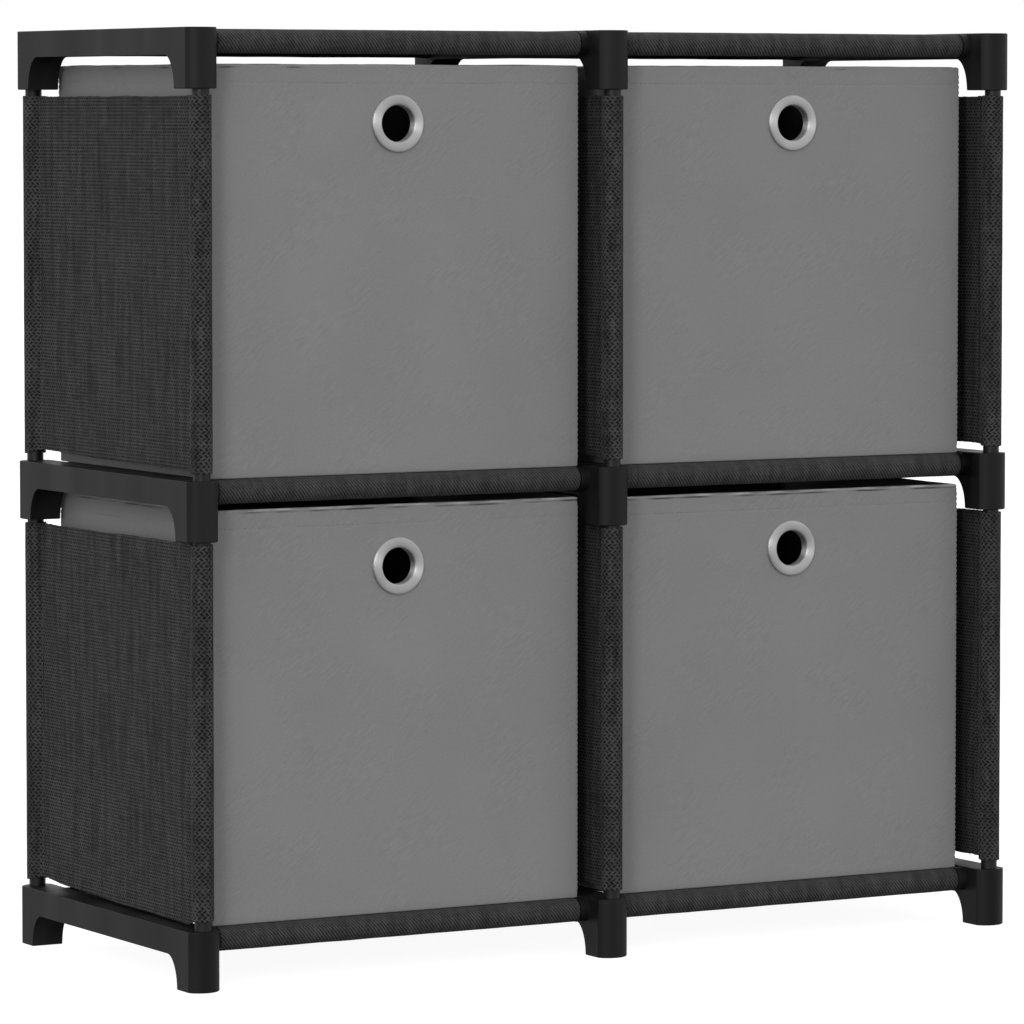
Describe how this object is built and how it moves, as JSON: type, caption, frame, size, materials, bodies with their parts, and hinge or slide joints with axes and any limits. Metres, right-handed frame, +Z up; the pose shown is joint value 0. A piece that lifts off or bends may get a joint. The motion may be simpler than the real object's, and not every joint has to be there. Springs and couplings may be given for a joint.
{
  "type": "cube storage unit",
  "caption": "Open cube storage rack of moulded brackets, steel tubes and sleeved fabric panels, with a pull-out fabric box with an eyelet in each cell.",
  "frame": {"origin": "on the floor at the centre of the rack's width and depth", "axes": "+X to the right seen from the front, -Y out of the front, +Z up"},
  "size_m": [0.7422, 0.312, 0.725],
  "materials": {
    "bracket_plastic": "fine moulded texture, satin",
    "tube_steel": "black powder coat, semi-gloss",
    "panel_fabric": "black woven mesh, matt",
    "shelf_fabric": "black woven mesh, matt",
    "box_fabric": "grey pressed fabric, matt",
    "lining_fabric": "black lining fabric, matt",
    "board": "grey-brown pressed board",
    "base_board_fabric": "black fabric over board, matt",
    "eyelet_metal": "satin nickel plate"
  },
  "bodies": {
    "rack": {"bracket_left_bottom": "bracket_plastic", "bracket_left_middle": "bracket_plastic", "bracket_left_top": "bracket_plastic", "uprights_left_lower": "tube_steel", "side_panel_left_lower": "panel_fabric", "uprights_left_upper": "tube_steel", "side_panel_left_upper": "panel_fabric", "bracket_centre_bottom": "bracket_plastic", "bracket_centre_middle": "bracket_plastic", "bracket_centre_top": "bracket_plastic", "uprights_centre_lower": "tube_steel", "side_panel_centre_lower": "panel_fabric", "uprights_centre_upper": "tube_steel", "side_panel_centre_upper": "panel_fabric", "bracket_right_bottom": "bracket_plastic", "bracket_right_middle": "bracket_plastic", "bracket_right_top": "bracket_plastic", "uprights_right_lower": "tube_steel", "side_panel_right_lower": "panel_fabric", "uprights_right_upper": "tube_steel", "side_panel_right_upper": "panel_fabric", "rails_left_bottom": "tube_steel", "shelf_left_bottom": "shelf_fabric", "rails_left_middle": "tube_steel", "shelf_left_middle": "shelf_fabric", "rails_left_top": "tube_steel", "shelf_left_top": "shelf_fabric", "rails_right_bottom": "tube_steel", "shelf_right_bottom": "shelf_fabric", "rails_right_middle": "tube_steel", "shelf_right_middle": "shelf_fabric", "rails_right_top": "tube_steel", "shelf_right_top": "shelf_fabric"},
    "box_left_lower": {"box_cover_left_lower": "box_fabric", "box_lining_left_lower": "lining_fabric", "box_wall_boards_left_lower": "board", "box_eyelet_left_lower": "eyelet_metal", "box_eyelet_washer_left_lower": "eyelet_metal"},
    "base_board_left_lower": {"box_base_board_left_lower": "base_board_fabric"},
    "box_left_upper": {"box_cover_left_upper": "box_fabric", "box_lining_left_upper": "lining_fabric", "box_wall_boards_left_upper": "board", "box_eyelet_left_upper": "eyelet_metal", "box_eyelet_washer_left_upper": "eyelet_metal"},
    "base_board_left_upper": {"box_base_board_left_upper": "base_board_fabric"},
    "box_right_lower": {"box_cover_right_lower": "box_fabric", "box_lining_right_lower": "lining_fabric", "box_wall_boards_right_lower": "board", "box_eyelet_right_lower": "eyelet_metal", "box_eyelet_washer_right_lower": "eyelet_metal"},
    "base_board_right_lower": {"box_base_board_right_lower": "base_board_fabric"},
    "box_right_upper": {"box_cover_right_upper": "box_fabric", "box_lining_right_upper": "lining_fabric", "box_wall_boards_right_upper": "board", "box_eyelet_right_upper": "eyelet_metal", "box_eyelet_washer_right_upper": "eyelet_metal"},
    "base_board_right_upper": {"box_base_board_right_upper": "base_board_fabric"}
  },
  "joints": [
    {"name": "pull_left_lower", "type": "slide", "parent": "rack", "child": "box_left_lower", "axis": [0, -1, 0], "range_m": [0, 0.3]},
    {"name": "lift_base_left_lower", "type": "slide", "parent": "box_left_lower", "child": "base_board_left_lower", "axis": [0, 0, 1], "range_m": [0, 0.28]},
    {"name": "pull_left_upper", "type": "slide", "parent": "rack", "child": "box_left_upper", "axis": [0, -1, 0], "range_m": [0, 0.3]},
    {"name": "lift_base_left_upper", "type": "slide", "parent": "box_left_upper", "child": "base_board_left_upper", "axis": [0, 0, 1], "range_m": [0, 0.28]},
    {"name": "pull_right_lower", "type": "slide", "parent": "rack", "child": "box_right_lower", "axis": [0, -1, 0], "range_m": [0, 0.3]},
    {"name": "lift_base_right_lower", "type": "slide", "parent": "box_right_lower", "child": "base_board_right_lower", "axis": [0, 0, 1], "range_m": [0, 0.28]},
    {"name": "pull_right_upper", "type": "slide", "parent": "rack", "child": "box_right_upper", "axis": [0, -1, 0], "range_m": [0, 0.3]},
    {"name": "lift_base_right_upper", "type": "slide", "parent": "box_right_upper", "child": "base_board_right_upper", "axis": [0, 0, 1], "range_m": [0, 0.28]}
  ]
}
